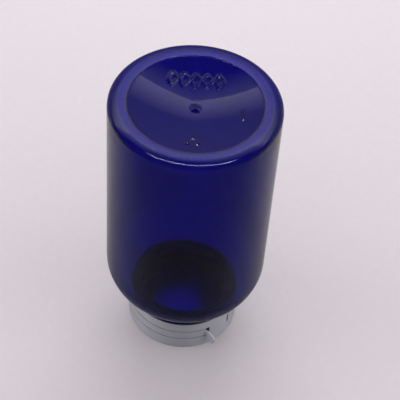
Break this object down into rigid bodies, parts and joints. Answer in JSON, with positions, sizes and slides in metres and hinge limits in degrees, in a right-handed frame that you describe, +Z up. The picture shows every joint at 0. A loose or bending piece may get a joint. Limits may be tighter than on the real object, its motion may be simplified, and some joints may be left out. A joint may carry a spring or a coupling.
{
  "type": "tablet bottle",
  "caption": "Round blue see-through tablet bottle standing upside down on a grey press-on closure with a tear strip, pull tab and flip lid on a living hinge.",
  "frame": {"origin": "centre of the lid's outer face, on the bottle's axis, at the surface that the bottle stands on upside down", "axes": "+Z up the bottle's axis from the lid to the base; +X from the axis to the lid's hinge"},
  "size_m": [0.058, 0.058, 0.109],
  "materials": {
    "bottle_plastic": "clear cobalt-blue blown polyester, glossy",
    "closure_plastic": "pale silver-grey moulded polyethylene, satin",
    "liner_foam": "white polyethylene foam, dull"
  },
  "bodies": {
    "bottle_body": {"bottle": "bottle_plastic", "collar": "closure_plastic", "hinge_strap": "closure_plastic"},
    "lid_body": {"lid": "closure_plastic", "liner": "liner_foam", "tear_strip": "closure_plastic"},
    "tab_body": {"pull_tab": "closure_plastic"}
  },
  "joints": [
    {"name": "lid_hinge", "type": "hinge", "parent": "bottle_body", "child": "lid_body", "pos_m": [0.0202, 0, 0.0076], "axis": [0, -1, 0], "range_deg": [0, 115], "deforming": ["hinge_strap"]},
    {"name": "strip_peel", "type": "hinge", "parent": "lid_body", "child": "tab_body", "pos_m": [0.01025, -0.01764, 0.0076], "axis": [0, 0, -1], "range_deg": [0, 75]}
  ]
}
